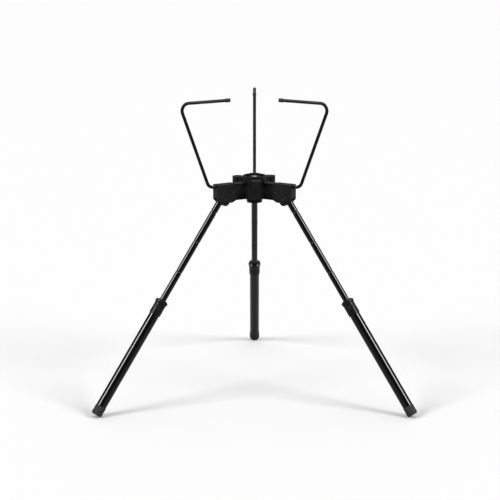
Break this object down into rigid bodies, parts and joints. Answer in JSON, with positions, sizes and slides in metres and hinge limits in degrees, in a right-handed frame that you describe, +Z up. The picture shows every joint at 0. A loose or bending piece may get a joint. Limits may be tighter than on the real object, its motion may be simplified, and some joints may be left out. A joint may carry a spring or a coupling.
{
  "type": "folding tripod stand",
  "caption": "Small black folding tripod stand: box-shaped wings on a hub carry telescopic legs below and folding bent wire cradle arms above.",
  "frame": {"origin": "mouth of the accessory thread in the centre stud, on the hub axis", "axes": "+Z up along the hub axis, out of the thread; the back leg and arm point to +Y"},
  "size_m": [0.5896, 0.5133, 0.5622],
  "materials": {
    "satin_black_plastic": "fine moulded grain, satin",
    "collar_plastic": "satin",
    "bush_plastic": "smooth",
    "gloss_black_tube": "gloss black anodised",
    "black_wire": "semi-gloss powder coat",
    "zinc_steel": "zinc plated",
    "black_screw": "black oxide",
    "brass": "turned",
    "rubber": "matte"
  },
  "bodies": {
    "hub": {"hub_body": "satin_black_plastic", "hub_bottom_cap": "satin_black_plastic", "centre_stud": "zinc_steel", "spring_washer": "zinc_steel", "wing_left": "satin_black_plastic", "wing_right": "satin_black_plastic", "wing_back": "satin_black_plastic", "wing_pins": "black_screw", "pivot_pins": "black_screw", "arm_set_screws": "black_screw"},
    "knob": {"lock_knob": "satin_black_plastic", "knob_insert": "brass"},
    "leg_left": {"leg_head_left": "satin_black_plastic", "head_pin_left": "zinc_steel", "upper_tube_left": "gloss_black_tube", "guide_bush_left": "bush_plastic"},
    "foot_left": {"collar_left": "collar_plastic", "collar_bush_left": "bush_plastic", "click_ring_left": "zinc_steel", "lower_tube_left": "gloss_black_tube", "foot_cap_left": "rubber"},
    "arm_left": {"arm_wire_left": "black_wire", "arm_tip_left": "rubber"},
    "leg_right": {"leg_head_right": "satin_black_plastic", "head_pin_right": "zinc_steel", "upper_tube_right": "gloss_black_tube", "guide_bush_right": "bush_plastic"},
    "foot_right": {"collar_right": "collar_plastic", "collar_bush_right": "bush_plastic", "click_ring_right": "zinc_steel", "lower_tube_right": "gloss_black_tube", "foot_cap_right": "rubber"},
    "arm_right": {"arm_wire_right": "black_wire", "arm_tip_right": "rubber"},
    "leg_back": {"leg_head_back": "satin_black_plastic", "head_pin_back": "zinc_steel", "upper_tube_back": "gloss_black_tube", "guide_bush_back": "bush_plastic"},
    "foot_back": {"collar_back": "collar_plastic", "collar_bush_back": "bush_plastic", "click_ring_back": "zinc_steel", "lower_tube_back": "gloss_black_tube", "foot_cap_back": "rubber"},
    "arm_back": {"arm_wire_back": "black_wire", "arm_tip_back": "rubber"}
  },
  "joints": [
    {"name": "knob_turn", "type": "hinge", "parent": "hub", "child": "knob", "pos_m": [0, 0, -0.0136], "axis": [0, 0, 1], "range_deg": [-20, 0]},
    {"name": "leg_fold_left", "type": "hinge", "parent": "hub", "child": "leg_left", "pos_m": [-0.05629, -0.0325, -0.0375], "axis": [0.5, -0.866, 0], "range_deg": [0, 38]},
    {"name": "leg_fold_right", "type": "hinge", "parent": "hub", "child": "leg_right", "pos_m": [0.05629, -0.0325, -0.0375], "axis": [0.5, 0.866, 0], "range_deg": [0, 38]},
    {"name": "leg_fold_back", "type": "hinge", "parent": "hub", "child": "leg_back", "pos_m": [0, 0.065, -0.0375], "axis": [-1, 0, 0], "range_deg": [0, 38]},
    {"name": "leg_length_left", "type": "slide", "parent": "leg_left", "child": "foot_left", "axis": [0.4967, 0.2868, 0.8192], "range_m": [0, 0.1905]},
    {"name": "leg_length_right", "type": "slide", "parent": "leg_right", "child": "foot_right", "axis": [-0.4967, 0.2868, 0.8192], "range_m": [0, 0.1905]},
    {"name": "leg_length_back", "type": "slide", "parent": "leg_back", "child": "foot_back", "axis": [0, -0.5736, 0.8192], "range_m": [0, 0.1905]},
    {"name": "arm_swivel_left", "type": "hinge", "parent": "hub", "child": "arm_left", "pos_m": [-0.06712, -0.03875, -0.01306], "axis": [-0.866, -0.5, 0], "range_deg": [0, 90]},
    {"name": "arm_swivel_right", "type": "hinge", "parent": "hub", "child": "arm_right", "pos_m": [0.06712, -0.03875, -0.01306], "axis": [0.866, -0.5, 0], "range_deg": [0, 90]},
    {"name": "arm_swivel_back", "type": "hinge", "parent": "hub", "child": "arm_back", "pos_m": [0, 0.0775, -0.01306], "axis": [0, 1, 0], "range_deg": [0, 90]}
  ]
}
